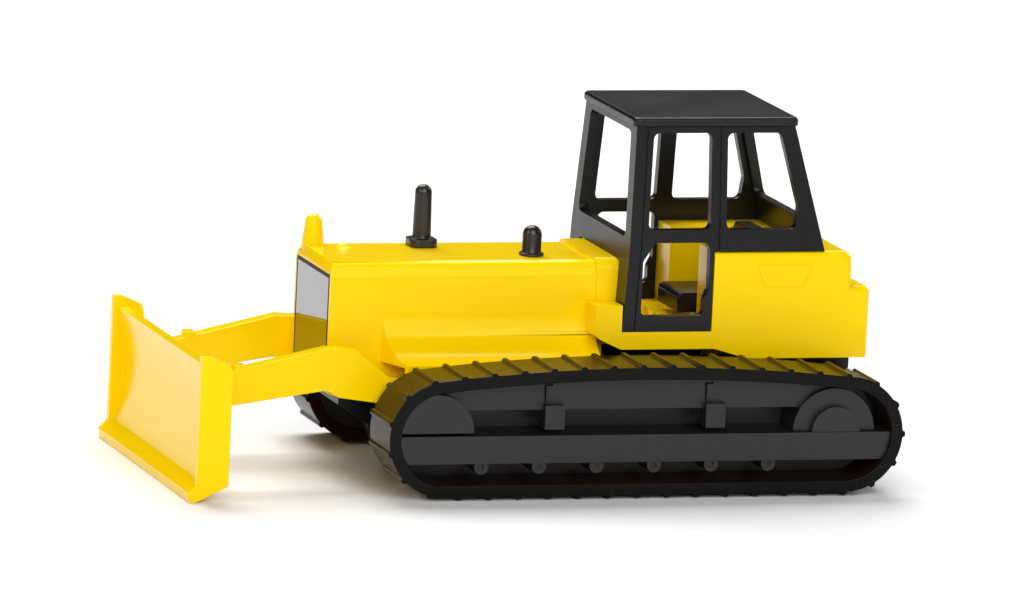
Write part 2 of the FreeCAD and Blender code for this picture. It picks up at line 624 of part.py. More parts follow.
def fender():
    """Skirt that leaves the hood side in a concave sweep and covers the arm's rear end."""
    rear_x = station(HOOD_REAR_STATION)
    front_x = station(FENDER_FRONT_STATION)
    root = HOOD_Y - CASTING_WALL
    reach = FENDER_Y - HOOD_Y
    fall = FENDER_ROOT_Z - FENDER_EDGE_Z
    radius = (reach ** 2 + fall ** 2) / (2 * reach)
    middle = (math.pi + math.atan2(-fall, reach - radius) % (2 * math.pi)) / 2
    curve = Part.Arc(V(rear_x, HOOD_Y, FENDER_ROOT_Z),
                     V(rear_x, HOOD_Y + radius + radius * math.cos(middle),
                       FENDER_ROOT_Z + radius * math.sin(middle)),
                     V(rear_x, FENDER_Y, FENDER_EDGE_Z)).toShape()
    corners = [V(rear_x, FENDER_Y, FENDER_EDGE_Z), V(rear_x, FENDER_Y, FENDER_EDGE_Z - FENDER_LIP),
               V(rear_x, root, FENDER_EDGE_Z - FENDER_LIP), V(rear_x, root, FENDER_ROOT_Z),
               V(rear_x, HOOD_Y, FENDER_ROOT_Z)]
    lines = [Part.LineSegment(a, b).toShape() for a, b in zip(corners, corners[1:])]
    length = front_x + FENDER_FRONT_SWEEP - rear_x
    skirt = Part.Face(Part.Wire([curve] + lines)).extrude(V(length, 0, 0))
    ahead = polygon_prism([V(front_x + FENDER_FRONT_SWEEP, HOOD_Y, 0), V(front_x, FENDER_Y, 0),
                           V(front_x, TOY_WIDTH, 0), V(BLADE_FRONT_X, TOY_WIDTH, 0),
                           V(BLADE_FRONT_X, HOOD_Y, 0)], V(0, 0, CAB_TOP_Z))
    return skirt.cut(ahead)


def rear_body():
    """Sill, side steps and the two-tier rear body, in outline from the side."""
    rear_x = station(BODY_REAR_STATION)
    step_front = station(STEP_FRONT_STATION)
    step_rear = station(STEP_REAR_STATION)
    fender_x = station(BODY_FRONT_STATION)
    outline = [
        (rear_x, BODY_BOTTOM_Z), (fender_x - SILL_RAMP_REAR, BODY_BOTTOM_Z),
        (fender_x - SILL_RAMP_FRONT, SILL_BOTTOM_Z), (step_rear, SILL_BOTTOM_Z),
        (step_front - STEP_TOE, SILL_BOTTOM_Z + STEP_TOE_LOW),
        (step_front, SILL_BOTTOM_Z + STEP_TOE_HIGH),
        (step_front, STEP_TOP_Z), (step_rear, STEP_TOP_Z),
        (step_rear, SILL_TOP_Z), (fender_x, SILL_TOP_Z), (fender_x, BODY_TOP_Z),
        (rear_x + TANK_STEP, BODY_TOP_Z), (rear_x + TANK_STEP, TANK_TOP_Z), (rear_x, TANK_TOP_Z),
    ]
    solid = side_prism(outline, -BODY_Y, BODY_Y)
    solid = rounded_edges(solid, BODY_EDGE_RADIUS, V(0, 1, 0),
                          lambda c: near(c.x, rear_x + TANK_STEP) and near(c.z, BODY_TOP_Z))
    solid = rounded_edges(solid, TANK_EDGE_RADIUS, V(0, 1, 0),
                          lambda c: near(c.x, rear_x) and near(c.z, TANK_TOP_Z))
    return rounded_edges(solid, BODY_SIDE_RADIUS, V(1, 0, 0),
                         lambda c: near(c.z, BODY_TOP_Z) or near(c.z, TANK_TOP_Z))


def cowl():
    rear_x = station(COWL_REAR_STATION)
    front_x = station(HOOD_REAR_STATION)
    block = box(rear_x, front_x, -COWL_Y, COWL_Y, SILL_BOTTOM_Z, COWL_TOP_Z)
    return rounded_edges(block, COWL_EDGE_RADIUS, V(1, 0, 0), lambda c: near(c.z, COWL_TOP_Z))


def hatch_groove():
    """Outline of the access hatch, a shallow channel in the rear body's side."""
    front_x = station(BODY_FRONT_STATION) - HATCH_SETBACK
    rear_x = front_x - HATCH_WIDTH
    top = BODY_TOP_Z - HATCH_DROP
    bottom = top - HATCH_HEIGHT

    def trapezium(inset):
        return side_prism([(front_x - inset, top - inset),
                           (front_x - HATCH_SLANT - inset, bottom + inset),
                           (rear_x + HATCH_SLANT + inset, bottom + inset),
                           (rear_x + inset, top - inset)],
                          BODY_Y - HATCH_GROOVE_DEPTH, BODY_Y + HATCH_GROOVE_DEPTH)

    return trapezium(0).cut(trapezium(HATCH_GROOVE_WIDTH))


def body_casting():
    wall = CASTING_WALL
    front_x = station(HOOD_FRONT_STATION)
    rear_x = station(BODY_REAR_STATION)
    cowl_rear = station(COWL_REAR_STATION)
    fender_x = station(BODY_FRONT_STATION)
    solid = hood().multiFuse([both_sides(fender()), cowl(), rear_body()])
    well = box(fender_x - WELL_LENGTH, fender_x + 1, -WELL_HALF_WIDTH, WELL_HALF_WIDTH,
               WELL_FLOOR_Z, BODY_TOP_Z + 1)
    engine_bay = box(cowl_rear + wall, front_x - 2 * wall, -HOOD_Y + wall, HOOD_Y - wall,
                     0, HOOD_TOP_Z - wall)
    fender_bay = box(station(HOOD_REAR_STATION) + wall, station(HOOD_FRONT_STATION),
                     HOOD_Y, FENDER_Y - FENDER_WALL, 0, FENDER_ROOM_Z)
    sill_bay = box(fender_x - 1, station(STEP_REAR_STATION) - wall, -BODY_Y + wall,
                   BODY_Y - wall, 0, SILL_TOP_Z - wall)
    rear_bay = box(rear_x + wall, fender_x - wall, -BODY_Y + wall, BODY_Y - wall,
                   0, TANK_TOP_Z - wall)
    upper_bay = box(rear_x + TANK_STEP + wall, fender_x - WELL_LENGTH - wall, -BODY_Y + wall,
                    BODY_Y - wall, TANK_TOP_Z - 2 * wall, BODY_TOP_Z - wall)
    well_shell = box(fender_x - WELL_LENGTH - wall, fender_x, -WELL_HALF_WIDTH - wall,
                     WELL_HALF_WIDTH + wall, WELL_FLOOR_Z - wall, BODY_TOP_Z)
    solid = solid.cut(engine_bay).cut(both_sides(fender_bay)).cut(sill_bay)
    solid = solid.cut(rear_bay.fuse(upper_bay).cut(well_shell)).cut(well)
    posts = []
    for x, top in zip(post_places(), (HOOD_TOP_Z - wall, WELL_FLOOR_Z - wall)):
        post = rod_z(x, 0, POST_RADIUS, BASE_FLOOR_Z + BASE_WALL, top + POST_LAP)
        hole = rod_z(x, 0, RIVET_RADIUS, BASE_FLOOR_Z, BASE_FLOOR_Z + BASE_WALL + RIVET_DEPTH)
        posts.append(post.cut(hole))
    pivot_boss = rod_y(station(PIVOT_STATION), PIVOT_Z, PIVOT_RADIUS + BOSS_WALL,
                       HOOD_Y - wall - BOSS_WALL, HOOD_Y + BOSS_PROUD)
    bosses = both_sides(pivot_boss.common(box(-BIG, BIG, 0, BIG, HOOD_BOTTOM_Z, BIG)))
    solid = solid.multiFuse(posts + pedals() + [bosses, filler_lug(), hood_dome()])
    drilled = [rod_y(station(PIVOT_STATION), PIVOT_Z, PIVOT_RADIUS, -ARM_OUTER_Y, ARM_OUTER_Y),
               stud_hole(STACK_STATION, -HOOD_Y + STACK_INSET, HOOD_TOP_Z),
               stud_hole(CLEANER_STATION, HOOD_Y - CLEANER_INSET, HOOD_TOP_Z),
               rod_z(fender_x - SEAT_STUD_SETBACK, 0, STUD_RADIUS,
                     WELL_FLOOR_Z - wall, WELL_FLOOR_Z),
               grille_pocket(), both_sides(hatch_groove())]
    solid = solid.cut(drilled[0].multiFuse(drilled[1:]))
    return solid.removeSplitter()


def pedals():
    """Three pedals on the cab floor, sloping up towards the firewall."""
    x = station(BODY_FRONT_STATION) + PEDAL_LEAD
    sink = CASTING_WALL / 2
    outline = [(x, SILL_TOP_Z - sink), (x, SILL_TOP_Z),
               (x + PEDAL_LENGTH, SILL_TOP_Z + PEDAL_HEIGHT), (x + PEDAL_LENGTH, SILL_TOP_Z - sink)]
    return [side_prism(outline, y - PEDAL_WIDTH / 2, y + PEDAL_WIDTH / 2)
            for y in (-PEDAL_PITCH, 0, PEDAL_PITCH)]


def filler_lug():
    """Tapered lug on the far front corner of the hood."""
    x, y = station(FILLER_STATION), -HOOD_Y + FILLER_INSET
    tip = FILLER_TIP_RADIUS
    cone = Part.makeCone(FILLER_RADIUS, tip, FILLER_HEIGHT - tip + ROOT_SINK,
                         V(x, y, HOOD_TOP_Z - ROOT_SINK))
    cap = Part.makeSphere(tip, V(x, y, HOOD_TOP_Z + FILLER_HEIGHT - tip))
    return cone.fuse(cap)


def hood_dome():
    x, y = station(DOME_STATION), -HOOD_Y + DOME_INSET
    ball = Part.makeSphere(DOME_RADIUS, V(x, y, HOOD_TOP_Z + DOME_RISE - DOME_RADIUS))
    return ball.common(box(-BIG, BIG, -BIG, BIG, HOOD_TOP_Z - ROOT_SINK, HOOD_TOP_Z + BIG))


def stud_hole(distance, y, z):
    return rod_z(station(distance), y, STUD_RADIUS, z - STUD_LENGTH, z)


# ---- small parts -----------------------------------------------------------------------------------------
def grille_pocket():
    x = station(HOOD_FRONT_STATION)
    half = HOOD_Y - GRILLE_MARGIN
    return box(x - GRILLE_THICKNESS, x, -half, half, GRILLE_BOTTOM_Z, NOSE_SLOPE_Z)


def grille():
    panel = grille_pocket()
    return rounded_edges(panel, GRILLE_CORNER_RADIUS, V(1, 0, 0), lambda c: near(c.z, NOSE_SLOPE_Z))


def exhaust_stack():
    x, y = station(STACK_STATION), -HOOD_Y + STACK_INSET
    half = COLLAR_SIZE / 2
    collar = box(x - half, x + half, y - half, y + half, HOOD_TOP_Z, HOOD_TOP_Z + COLLAR_HEIGHT)
    collar = rounded_edges(collar, COLLAR_CORNER_RADIUS, V(0, 0, 1), lambda c: True)
    tip = STACK_TIP_RADIUS
    pipe = Part.makeCone(STACK_FOOT_RADIUS, tip, STACK_HEIGHT - tip, V(x, y, HOOD_TOP_Z))
    cap = Part.makeSphere(tip, V(x, y, HOOD_TOP_Z + STACK_HEIGHT - tip))
    stud = rod_z(x, y, STUD_RADIUS, HOOD_TOP_Z - STUD_LENGTH, HOOD_TOP_Z)
    return collar.multiFuse([pipe, cap, stud]).removeSplitter()


def pre_cleaner():
    x, y = station(CLEANER_STATION), HOOD_Y - CLEANER_INSET
    radius = CLEANER_RADIUS
    flange = rod_z(x, y, CLEANER_FLANGE, HOOD_TOP_Z, HOOD_TOP_Z + CLEANER_FLANGE_HEIGHT)
    pipe = rod_z(x, y, radius, HOOD_TOP_Z, HOOD_TOP_Z + CLEANER_HEIGHT - radius)
    cap = Part.makeSphere(radius, V(x, y, HOOD_TOP_Z + CLEANER_HEIGHT - radius))
    stud = rod_z(x, y, STUD_RADIUS, HOOD_TOP_Z - STUD_LENGTH, HOOD_TOP_Z)
    return flange.multiFuse([pipe, cap, stud]).removeSplitter()


def seat():
    """Cushion and low backrest, with a stud under the cushion."""
    front_x = station(BODY_FRONT_STATION) + CUSHION_OVERHANG
    rear_x = station(BODY_FRONT_STATION) - WELL_LENGTH + SEAT_CLEARANCE
    half = SEAT_WIDTH / 2
    top = WELL_FLOOR_Z + CUSHION_THICKNESS
    cushion = box(rear_x, front_x, -half, half, WELL_FLOOR_Z, top)
    cushion = rounded_edges(cushion, CUSHION_EDGE_RADIUS, V(0, 1, 0),
                            lambda c: near(c.z, top) and near(c.x, front_x))
    back = side_prism([(rear_x, top), (rear_x + BACKREST_THICKNESS + BACKREST_FOOT, top),
                       (rear_x + BACKREST_THICKNESS, BACKREST_TOP_Z), (rear_x, BACKREST_TOP_Z)],
                      -half, half)
    back = rounded_edges(back, BACKREST_CORNER_RADIUS, V(1, 0, 0),
                         lambda c: near(c.z, BACKREST_TOP_Z))
    stud = rod_z(station(BODY_FRONT_STATION) - SEAT_STUD_SETBACK, 0, STUD_RADIUS,
                 WELL_FLOOR_Z - CASTING_WALL, WELL_FLOOR_Z)
    return cushion.multiFuse([back, stud]).removeSplitter()


# ---- cab ------------------------------------------------------------------------------------------------
def cab_block(inset):
    """The cab's outside, or its inside when inset is the wall."""
    front_x = station(CAB_FRONT_STATION) - inset
    rear_x = station(CAB_REAR_STATION) + inset
    outline = [(front_x, SILL_TOP_Z), (front_x - CAB_FRONT_LEAN, ROOF_BOTTOM_Z),
               (rear_x + CAB_REAR_LEAN, ROOF_BOTTOM_Z), (rear_x, BODY_TOP_Z),
               (rear_x, SILL_TOP_Z)]
    half = BODY_Y - SEAM - inset
    section = [(half, SILL_TOP_Z), (half, BODY_TOP_Z), (half - CAB_SIDE_LEAN, ROOF_BOTTOM_Z),
               (-half + CAB_SIDE_LEAN, ROOF_BOTTOM_Z), (-half, BODY_TOP_Z), (-half, SILL_TOP_Z)]
    return side_prism(outline, -BIG, BIG).common(front_prism(section, -BIG, BIG))


def cab_windows():
    front_x = station(CAB_FRONT_STATION)
    rear_x = station(CAB_REAR_STATION)
    post_x = station(BODY_FRONT_STATION)
    tall = ROOF_BOTTOM_Z - BODY_TOP_Z
    door_front = front_x - PILLAR_FRONT
    door_rear = post_x + PILLAR_MIDDLE_LEAD
    quarter_front = door_rear - PILLAR_MIDDLE

    def rear_edge(z):
        return rear_x + CAB_REAR_LEAN * (z - BODY_TOP_Z) / tall + PILLAR_REAR

    def front_edge(z):
        return door_front - CAB_FRONT_LEAN * (z - SILL_TOP_Z) / (ROOF_BOTTOM_Z - SILL_TOP_Z)

    cut_z = WINDOW_SILL_Z + QUARTER_CUT_RISE
    return [
        [(front_edge(WINDOW_SILL_Z), WINDOW_SILL_Z), (front_edge(WINDOW_TOP_Z), WINDOW_TOP_Z),
         (door_rear, WINDOW_TOP_Z), (door_rear, WINDOW_SILL_Z)],
        [(door_front, DOOR_SILL_Z), (door_front, RAIL_BOTTOM_Z - DOOR_CHEEK_DROP),
         (door_front - DOOR_CHEEK, RAIL_BOTTOM_Z), (door_rear, RAIL_BOTTOM_Z),
         (door_rear, DOOR_HEEL_Z + DOOR_HEEL_RISE), (door_rear + DOOR_HEEL, DOOR_HEEL_Z),
         (door_rear + DOOR_HEEL, DOOR_SILL_Z)],
        [(quarter_front, WINDOW_SILL_Z), (quarter_front, WINDOW_TOP_Z),
         (rear_edge(WINDOW_TOP_Z), WINDOW_TOP_Z), (rear_edge(cut_z), cut_z),
         (rear_edge(WINDOW_SILL_Z) + QUARTER_CUT, WINDOW_SILL_Z)],
    ]


def end_window(sill_z, x0, x1):
    """Windscreen or rear window cutter, as wide as the pillars leave."""
    half_low = BODY_Y - SEAM - PILLAR_FRONT
    half_high = half_low - CAB_SIDE_LEAN * (WINDOW_TOP_Z - sill_z) / (ROOF_BOTTOM_Z - sill_z)
    cutter = front_prism([(half_low, sill_z), (half_high, WINDOW_TOP_Z),
                          (-half_high, WINDOW_TOP_Z), (-half_low, sill_z)], x0, x1)
    return rounded_edges(cutter, CORNER_RADIUS, V(1, 0, 0), lambda c: True)


def door_lines():
    """Two upright grooves on each side of the cage, one along each edge of the door."""
    skin = cab_block(0).cut(cab_block(DOOR_LINE_DEPTH))
    front_x = station(CAB_FRONT_STATION) - PILLAR_FRONT + DOOR_LINE_INSET
    rear_x = station(BODY_FRONT_STATION) + PILLAR_MIDDLE_LEAD - DOOR_LINE_INSET
    front_line = [(front_x, SILL_TOP_Z), (front_x - CAB_FRONT_LEAN, ROOF_BOTTOM_Z),
                  (front_x - CAB_FRONT_LEAN - DOOR_LINE_WIDTH, ROOF_BOTTOM_Z),
                  (front_x - DOOR_LINE_WIDTH, SILL_TOP_Z)]
    rear_line = [(rear_x, SILL_TOP_Z), (rear_x, ROOF_BOTTOM_Z),
                 (rear_x - DOOR_LINE_WIDTH, ROOF_BOTTOM_Z), (rear_x - DOOR_LINE_WIDTH, SILL_TOP_Z)]
    lines = side_prism(front_line, -BIG, BIG).fuse(side_prism(rear_line, -BIG, BIG))
    return skin.common(lines)


def cab_frame():
    front_x = station(CAB_FRONT_STATION)
    rear_x = station(CAB_REAR_STATION)
    post_x = station(BODY_FRONT_STATION)
    middle_x = (front_x + rear_x) / 2
    cage = cab_block(0).cut(cab_block(CAB_WALL))
    below = box(-BIG, post_x + SEAM, -BIG, BIG, 0, BODY_TOP_Z)
    cowl_room = box(station(COWL_REAR_STATION) - SEAM, BIG, -COWL_Y - SEAM, COWL_Y + SEAM,
                    0, COWL_TOP_Z)
    step_room = box(station(STEP_REAR_STATION) - SEAM, BIG, -BIG, BIG, 0, STEP_TOP_Z + SEAM)
    cage = cage.cut(below).cut(cowl_room).cut(step_room)
    for outline in cab_windows():
        cage = cage.cut(rounded_window(outline, -BIG, BIG))
    cage = cage.cut(end_window(WINDSHIELD_SILL_Z, middle_x, BIG))
    cage = cage.cut(end_window(REAR_SILL_Z, -BIG, middle_x))
    return cage.cut(door_lines()).removeSplitter()


def cab_roof():
    """Rounded slab with a shallow plug that sits inside the cage."""
    front_x = station(CAB_FRONT_STATION) - CAB_FRONT_LEAN + ROOF_OVERHANG
    rear_x = station(CAB_REAR_STATION) + CAB_REAR_LEAN - ROOF_OVERHANG
    half = BODY_Y - SEAM - CAB_SIDE_LEAN + ROOF_OVERHANG
    slab = box(rear_x, front_x, -half, half, ROOF_BOTTOM_Z, CAB_TOP_Z)
    slab = rounded_edges(slab, ROOF_CORNER_RADIUS, V(0, 0, 1), lambda c: True)
    slab = slab.makeFillet(ROOF_EDGE_RADIUS, [e for e in slab.Edges if near(e.CenterOfMass.z, CAB_TOP_Z)])
    inner = CAB_WALL + ROOF_OVERHANG
    plug = box(rear_x + inner, front_x - inner, -half + inner, half - inner,
               ROOF_BOTTOM_Z - ROOF_PLUG_DEPTH, ROOF_BOTTOM_Z)
    return slab.fuse(plug).removeSplitter()


# ---- blade ------------------------------------------------------------------------------------------------
def blade_back_x():
    return BLADE_FRONT_X - LIP_REACH - BLADE_SKIN - BLADE_HOLLOW / 2


def blade():
    """Dished moldboard with a cutting lip and an end plate on each side."""
    lip_x = BLADE_FRONT_X
    face_x = lip_x - LIP_REACH
    half = BLADE_WIDTH / 2
    middle_z = (LIP_TOP_Z + BLADE_TOP_Z) / 2
    back_z = LIP_TOP_Z - LIP_BACK_DROP

    def at(x, z):
        return V(x, -half, z)

    dish = Part.Arc(at(face_x, LIP_TOP_Z), at(face_x - BLADE_HOLLOW, middle_z),
                    at(face_x, BLADE_TOP_Z)).toShape()
    back = Part.Arc(at(face_x - BLADE_SKIN, BLADE_TOP_Z),
                    at(face_x - BLADE_SKIN - BLADE_HOLLOW, middle_z),
                    at(face_x - BLADE_SKIN, back_z)).toShape()
    foot_x = lip_x - LIP_NOSE
    corners = [at(face_x - BLADE_SKIN, back_z), at(foot_x - LIP_FOOT, 0), at(foot_x, 0),
               at(lip_x, LIP_NOSE_Z), at(face_x, LIP_TOP_Z)]
    lines = [Part.LineSegment(a, b).toShape() for a, b in zip(corners, corners[1:])]
    top = Part.LineSegment(at(face_x, BLADE_TOP_Z), at(face_x - BLADE_SKIN, BLADE_TOP_Z))
    lines.append(top.toShape())
    wire = Part.Wire(Part.__sortEdges__([dish, back] + lines))
    moldboard = Part.Face(wire).extrude(V(0, BLADE_WIDTH, 0))
    rear_x = face_x - BLADE_DEPTH
    wing_x = face_x + WING_PROUD
    wing_outline = [(rear_x, back_z + WING_HEEL), (face_x - LIP_FOOT, WING_TOE_Z),
                    (foot_x - WING_TOE_LENGTH, 0), (foot_x, 0), (foot_x, WING_TOE_Z),
                    (wing_x, LIP_TOP_Z), (wing_x, WING_TOP_Z),
                    (wing_x - WING_TOP_FLAT, WING_TOP_Z),
                    (rear_x + WING_HEEL, WING_TOP_Z - WING_TOP_DROP),
                    (rear_x, WING_TOP_Z - 2 * WING_TOP_DROP)]
    wing = side_prism(wing_outline, half - WING_THICKNESS, half)
    cheek = box(blade_back_x() - ARM_PEG, blade_back_x() + CHEEK_LAP,
                ARM_INNER_Y - CHEEK_WALL, ARM_OUTER_Y + CHEEK_WALL,
                ARM_FOOT_BOTTOM_Z - CHEEK_WALL, ARM_FOOT_BOTTOM_Z + ARM_FOOT_HEIGHT + CHEEK_WALL)
    solid = moldboard.multiFuse([both_sides(wing), both_sides(cheek)])
    slot = box(blade_back_x() - ARM_PEG, blade_back_x(), ARM_INNER_Y, ARM_OUTER_Y,
               ARM_FOOT_BOTTOM_Z, ARM_FOOT_BOTTOM_Z + ARM_FOOT_HEIGHT)
    return solid.cut(both_sides(slot)).removeSplitter()


def push_arm():
    """Flat arm: foot in the blade's cheek, deeper near the hood, eye on the pivot pin."""
    foot_x = blade_back_x()
    heel_x = foot_x - ARM_PEG
    eye_x = station(PIVOT_STATION)
    knee_x = station(HOOD_FRONT_STATION) + ARM_KNEE_LEAD
    foot_top = ARM_FOOT_BOTTOM_Z + ARM_FOOT_HEIGHT
    knee_top = ARM_REAR_BOTTOM_Z + ARM_REAR_HEIGHT

    def on_eye(degrees):
        turn = math.radians(degrees)
        return eye_x + EYE_RADIUS * math.cos(turn), PIVOT_Z + EYE_RADIUS * math.sin(turn)

    outline = [
        (foot_x, ARM_FOOT_BOTTOM_Z), (foot_x, foot_top), (heel_x, foot_top),
        (knee_x, knee_top), (knee_x - ARM_KNEE_LENGTH, knee_top - ARM_KNEE_FALL),
        (eye_x + ARM_THROAT_LEAD, PIVOT_Z + ARM_THROAT_RISE), on_eye(EYE_TOP_ANGLE),
        (eye_x, PIVOT_Z), on_eye(EYE_LOW_ANGLE),
        (knee_x - ARM_BELLY, ARM_REAR_BOTTOM_Z - ARM_BELLY_DROP),
        (knee_x, ARM_REAR_BOTTOM_Z), (heel_x, ARM_FOOT_BOTTOM_Z),
    ]
    plate = side_prism(outline, ARM_INNER_Y, ARM_OUTER_Y)
    lug_x = heel_x - ARM_LUG_SETBACK
    slope = (knee_top - foot_top) / (heel_x - knee_x)
    lug_z = foot_top + slope * (heel_x - lug_x)
    lug = box(lug_x - ARM_LUG_LENGTH / 2, lug_x + ARM_LUG_LENGTH / 2, ARM_INNER_Y, ARM_OUTER_Y,
              lug_z - ARM_LUG_LENGTH, lug_z + ARM_LUG_HEIGHT)
    eye = rod_y(eye_x, PIVOT_Z, EYE_RADIUS, ARM_INNER_Y, ARM_OUTER_Y)
    bore = rod_y(eye_x, PIVOT_Z, PIVOT_RADIUS + PIVOT_CLEARANCE, ARM_INNER_Y, ARM_OUTER_Y)
    return plate.multiFuse([eye, lug]).cut(bore).removeSplitter()


def pivot_pin():
    head_y = ARM_OUTER_Y + PIN_SIDE_GAP
    head = rod_y(station(PIVOT_STATION), PIVOT_Z, PIN_HEAD_RADIUS, head_y, head_y + PIN_HEAD)
    shank = rod_y(station(PIVOT_STATION), PIVOT_Z, PIVOT_RADIUS,
                  HOOD_Y - CASTING_WALL - BOSS_WALL, head_y)
    return head.fuse(shank).removeSplitter()


def rivet(x):
    head_z = BASE_FLOOR_Z + RIVET_SINK
    head = rod_z(x, 0, RIVET_HEAD_RADIUS, head_z, head_z + RIVET_HEAD)
    shank = rod_z(x, 0, RIVET_RADIUS, head_z, BASE_FLOOR_Z + BASE_WALL + RIVET_DEPTH)
    return head.fuse(shank).removeSplitter()


def all_parts():
    band, frame, arm, pin = track_band(), track_frame(), push_arm(), pivot_pin()
    front_wheel, rear_wheel = wheel(FRONT_AXLE_STATION), wheel(REAR_AXLE_STATION)
    front_post, rear_post = post_places()
    return {
        "body_casting": body_casting(),
        "base_plate": base_plate(),
        "grille": grille(),
        "exhaust_stack": exhaust_stack(),
        "pre_cleaner": pre_cleaner(),
        "cab_frame": cab_frame(),
        "cab_roof": cab_roof(),
        "seat": seat(),
        "track_band_left": band,
        "track_band_right": other_side(band),
        "track_frame_left": frame,
        "track_frame_right": other_side(frame),
        "front_axle": axle(FRONT_AXLE_STATION),
        "rear_axle": axle(REAR_AXLE_STATION),
        "front_wheel_left": front_wheel,
        "front_wheel_right": other_side(front_wheel),
        "rear_wheel_left": rear_wheel,
        "rear_wheel_right": other_side(rear_wheel),
        "blade": blade(),
        "push_arm_left": arm,
        "push_arm_right": other_side(arm),
        "pivot_pin_left": pin,
        "pivot_pin_right": other_side(pin),
        "rivet_front": rivet(front_post),
        "rivet_rear": rivet(rear_post),
    }


os.makedirs("parts", exist_ok=True)
for name, shape in all_parts().items():
    shape.exportStep("parts/" + name + ".step")
    box_size = shape.BoundBox
    print(f"{name:18s} solids {len(shape.Solids)} valid {shape.isValid()} "
          f"volume {shape.Volume:9.2f} z {box_size.ZMin:6.2f} {box_size.ZMax:6.2f}")
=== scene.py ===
import math

import bpy
from mathutils import Matrix, Vector


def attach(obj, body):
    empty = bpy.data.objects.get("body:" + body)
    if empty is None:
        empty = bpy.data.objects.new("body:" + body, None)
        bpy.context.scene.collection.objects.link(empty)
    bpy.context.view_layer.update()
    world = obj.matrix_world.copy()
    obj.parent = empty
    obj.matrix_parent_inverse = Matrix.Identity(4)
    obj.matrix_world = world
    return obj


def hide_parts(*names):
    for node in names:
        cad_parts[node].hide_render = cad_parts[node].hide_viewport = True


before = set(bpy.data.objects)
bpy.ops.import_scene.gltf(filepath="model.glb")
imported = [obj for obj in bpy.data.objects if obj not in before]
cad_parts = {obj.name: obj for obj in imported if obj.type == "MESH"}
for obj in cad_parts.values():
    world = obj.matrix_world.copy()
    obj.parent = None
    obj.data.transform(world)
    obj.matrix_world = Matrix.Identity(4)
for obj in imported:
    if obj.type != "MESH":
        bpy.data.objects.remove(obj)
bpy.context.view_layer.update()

# ---- Camera -------------------------------------------------------------------------------
# A long lens a little over a metre away, on the toy's left, somewhat ahead of it and above it,
# rolled by under three degrees so that the tail sits a touch lower than the nose.
LENS_MM = 400.0
AZIMUTH = math.radians(162.3)
ELEVATION = math.radians(10.1)
ROLL = math.radians(2.7)
DISTANCE = 1.232
AIM = Vector((-0.0008, 0.0004, 0.0175))

back = Vector((math.sin(AZIMUTH) * math.cos(ELEVATION), -math.cos(AZIMUTH) * math.cos(ELEVATION),
               math.sin(ELEVATION)))
level_right = (-back).cross(Vector((0, 0, 1))).normalized()
level_up = level_right.cross(-back)
right = math.cos(ROLL) * level_right + math.sin(ROLL) * level_up
up = math.cos(ROLL) * level_up - math.sin(ROLL) * level_right
lens = bpy.data.cameras.new("camera")
lens.lens = LENS_MM
lens.clip_end = 20.0
camera = bpy.data.objects.new("camera", lens)
turn = Matrix((right, up, back)).transposed().to_4x4()
camera.matrix_world = Matrix.Translation(AIM + back * DISTANCE) @ turn
bpy.context.scene.collection.objects.link(camera)
bpy.context.scene.camera = camera
bpy.context.scene.view_settings.view_transform = "Standard"

# ---- Light --------------------------------------------------------------------------------
# A white table in a dim room under four softboxes. The sky is pale overhead and dim near the
# horizon, so the glossy tops stay deep in colour and only rounded edges catch soft lines.
# Softboxes face the toy; places and sides are in metres, power in watts.
def add_node(tree, kind, values=(), links=(), **settings):
    """Add one node, set its properties and sockets, and link sources into its sockets."""
    node = tree.nodes.new(kind)
    for name, value in settings.items():
        setattr(node, name, value)
    for socket, value in values:
        node.inputs[socket].default_value = value
    for socket, source in links:
        tree.links.new(source, node.inputs[socket])
    return node


sky = bpy.data.worlds.new("studio_room")
sky.use_nodes = True
direction = add_node(sky.node_tree, "ShaderNodeTexCoord")
height = add_node(sky.node_tree, "ShaderNodeSeparateXYZ",
                  links=[("Vector", direction.outputs["Generated"])])
dome = add_node(sky.node_tree, "ShaderNodeMapRange",
                [("From Min", 0.3), ("From Max", 0.8), ("To Min", 0.04), ("To Max", 0.6)],
                [("Value", height.outputs["Z"])], interpolation_type="SMOOTHSTEP")
sky.node_tree.links.new(dome.outputs["Result"], sky.node_tree.nodes["Background"].inputs["Strength"])
bpy.context.scene.world = sky

for name, place, side, watts in (("overhead_softbox", (0.0, -0.5, 0.78), 0.7, 10.0),
                                 ("key_softbox", (0.1, 0.95, 0.6), 0.9, 9.9),
                                 ("front_softbox", (0.95, 0.25, 0.5), 0.4, 2.9),
                                 ("rear_softbox", (-0.9, -0.3, 0.5), 0.5, 3.4)):
    lamp = bpy.data.lights.new(name, "AREA")
    lamp.size = side
    lamp.energy = watts
    softbox = bpy.data.objects.new(name, lamp)
    softbox.location = place
    softbox.rotation_euler = Vector(place).to_track_quat("Z", "Y").to_euler()
    bpy.context.scene.collection.objects.link(softbox)


# ---- Studio floor -------------------------------------------------------------------------
# A sheet of matt white board, large enough to fill the view from every side. It is not part
# of the toy.
def linear(colour):
    """Linear RGBA of an sRGB hex colour."""
    parts = [int(colour[i:i + 2], 16) / 255 for i in (1, 3, 5)]
    return [p / 12.92 if p <= 0.04045 else ((p + 0.055) / 1.055) ** 2.4 for p in parts] + [1.0]


def new_material(name):
    """An empty node material, its tree and its surface shader."""
    material = bpy.data.materials.new(name)
    material.use_nodes = True
    return material, material.node_tree, material.node_tree.nodes["Principled BSDF"]


def deselect():
    bpy.ops.object.select_all(action="DESELECT")


